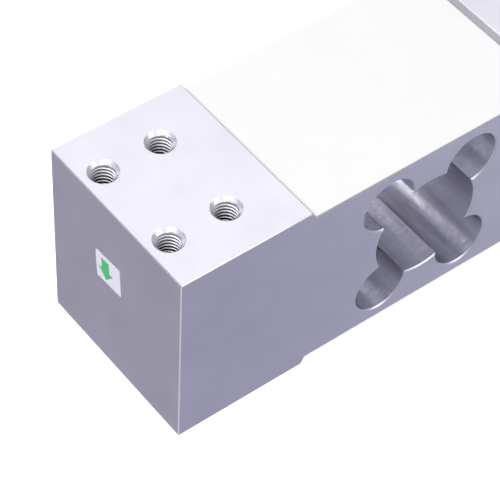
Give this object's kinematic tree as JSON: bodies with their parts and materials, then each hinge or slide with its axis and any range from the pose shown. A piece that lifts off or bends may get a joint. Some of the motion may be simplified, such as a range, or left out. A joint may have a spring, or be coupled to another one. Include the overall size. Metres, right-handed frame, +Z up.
{
  "type": "single-point weighing load cell",
  "caption": "Aluminium single-point load cell: a block with raised end pads, a clover cut-out, tapped mounting holes, white gauge covers and a cable gland.",
  "frame": {"origin": "centre of the fixed end's bolt pattern on the underside, in the plane of the base pad", "axes": "+X along the beam from the live end to the fixed end with the cable gland, +Z up, against the load"},
  "size_m": [0.191, 0.06, 0.065],
  "materials": {
    "aluminium": "clear anodised, fine satin",
    "cover_white": "smooth matt white film",
    "wire_sleeve": "thin extruded insulation",
    "copper": "bare copper",
    "solder": "bright solder",
    "board": "glass-fibre laminate with solder resist",
    "adhesive": "soft adhesive layer",
    "resistor": "chip resistor body",
    "nickel": "nickel foil element",
    "silicone": "soft white silicone",
    "plated_brass": "nickel-plated brass",
    "black_rubber": "nitrile rubber",
    "nylon": "moulded nylon",
    "label_white": "semi-matt label film",
    "print_green": "printed ink",
    "gauge_film": "polyimide film",
    "gauge_foil": "resistance-alloy foil",
    "strip": "polyimide film with copper pads"
  },
  "bodies": {
    "root": {"spring_element": "aluminium", "cover_top": "cover_white", "cover_bottom": "cover_white", "bridge_wires_top": "wire_sleeve", "bridge_wires_bottom": "wire_sleeve", "jumper_wires_top": "copper", "jumper_wires_bottom": "copper", "gauge_joints_top": "solder", "gauge_joints_bottom": "solder", "bridge_board": "board", "board_pad": "adhesive", "board_lands": "copper", "board_joints": "solder", "zero_resistors": "resistor", "span_resistors": "resistor", "nickel_resistor": "nickel", "potting_top": "silicone", "potting_bottom": "silicone", "gland_body": "plated_brass", "face_seal": "black_rubber", "sealing_bush": "black_rubber", "clamping_insert": "nylon", "dome_nut": "plated_brass", "arrow_label": "label_white", "arrow_print": "print_green", "gauge_backing_top_live": "gauge_film", "gauge_grid_top_live": "gauge_foil", "terminal_strip_top_live": "strip", "gauge_backing_top_fixed": "gauge_film", "gauge_grid_top_fixed": "gauge_foil", "terminal_strip_top_fixed": "strip", "gauge_backing_bottom_live": "gauge_film", "gauge_grid_bottom_live": "gauge_foil", "terminal_strip_bottom_live": "strip", "gauge_backing_bottom_fixed": "gauge_film", "gauge_grid_bottom_fixed": "gauge_foil", "terminal_strip_bottom_fixed": "strip"}
  },
  "joints": []
}
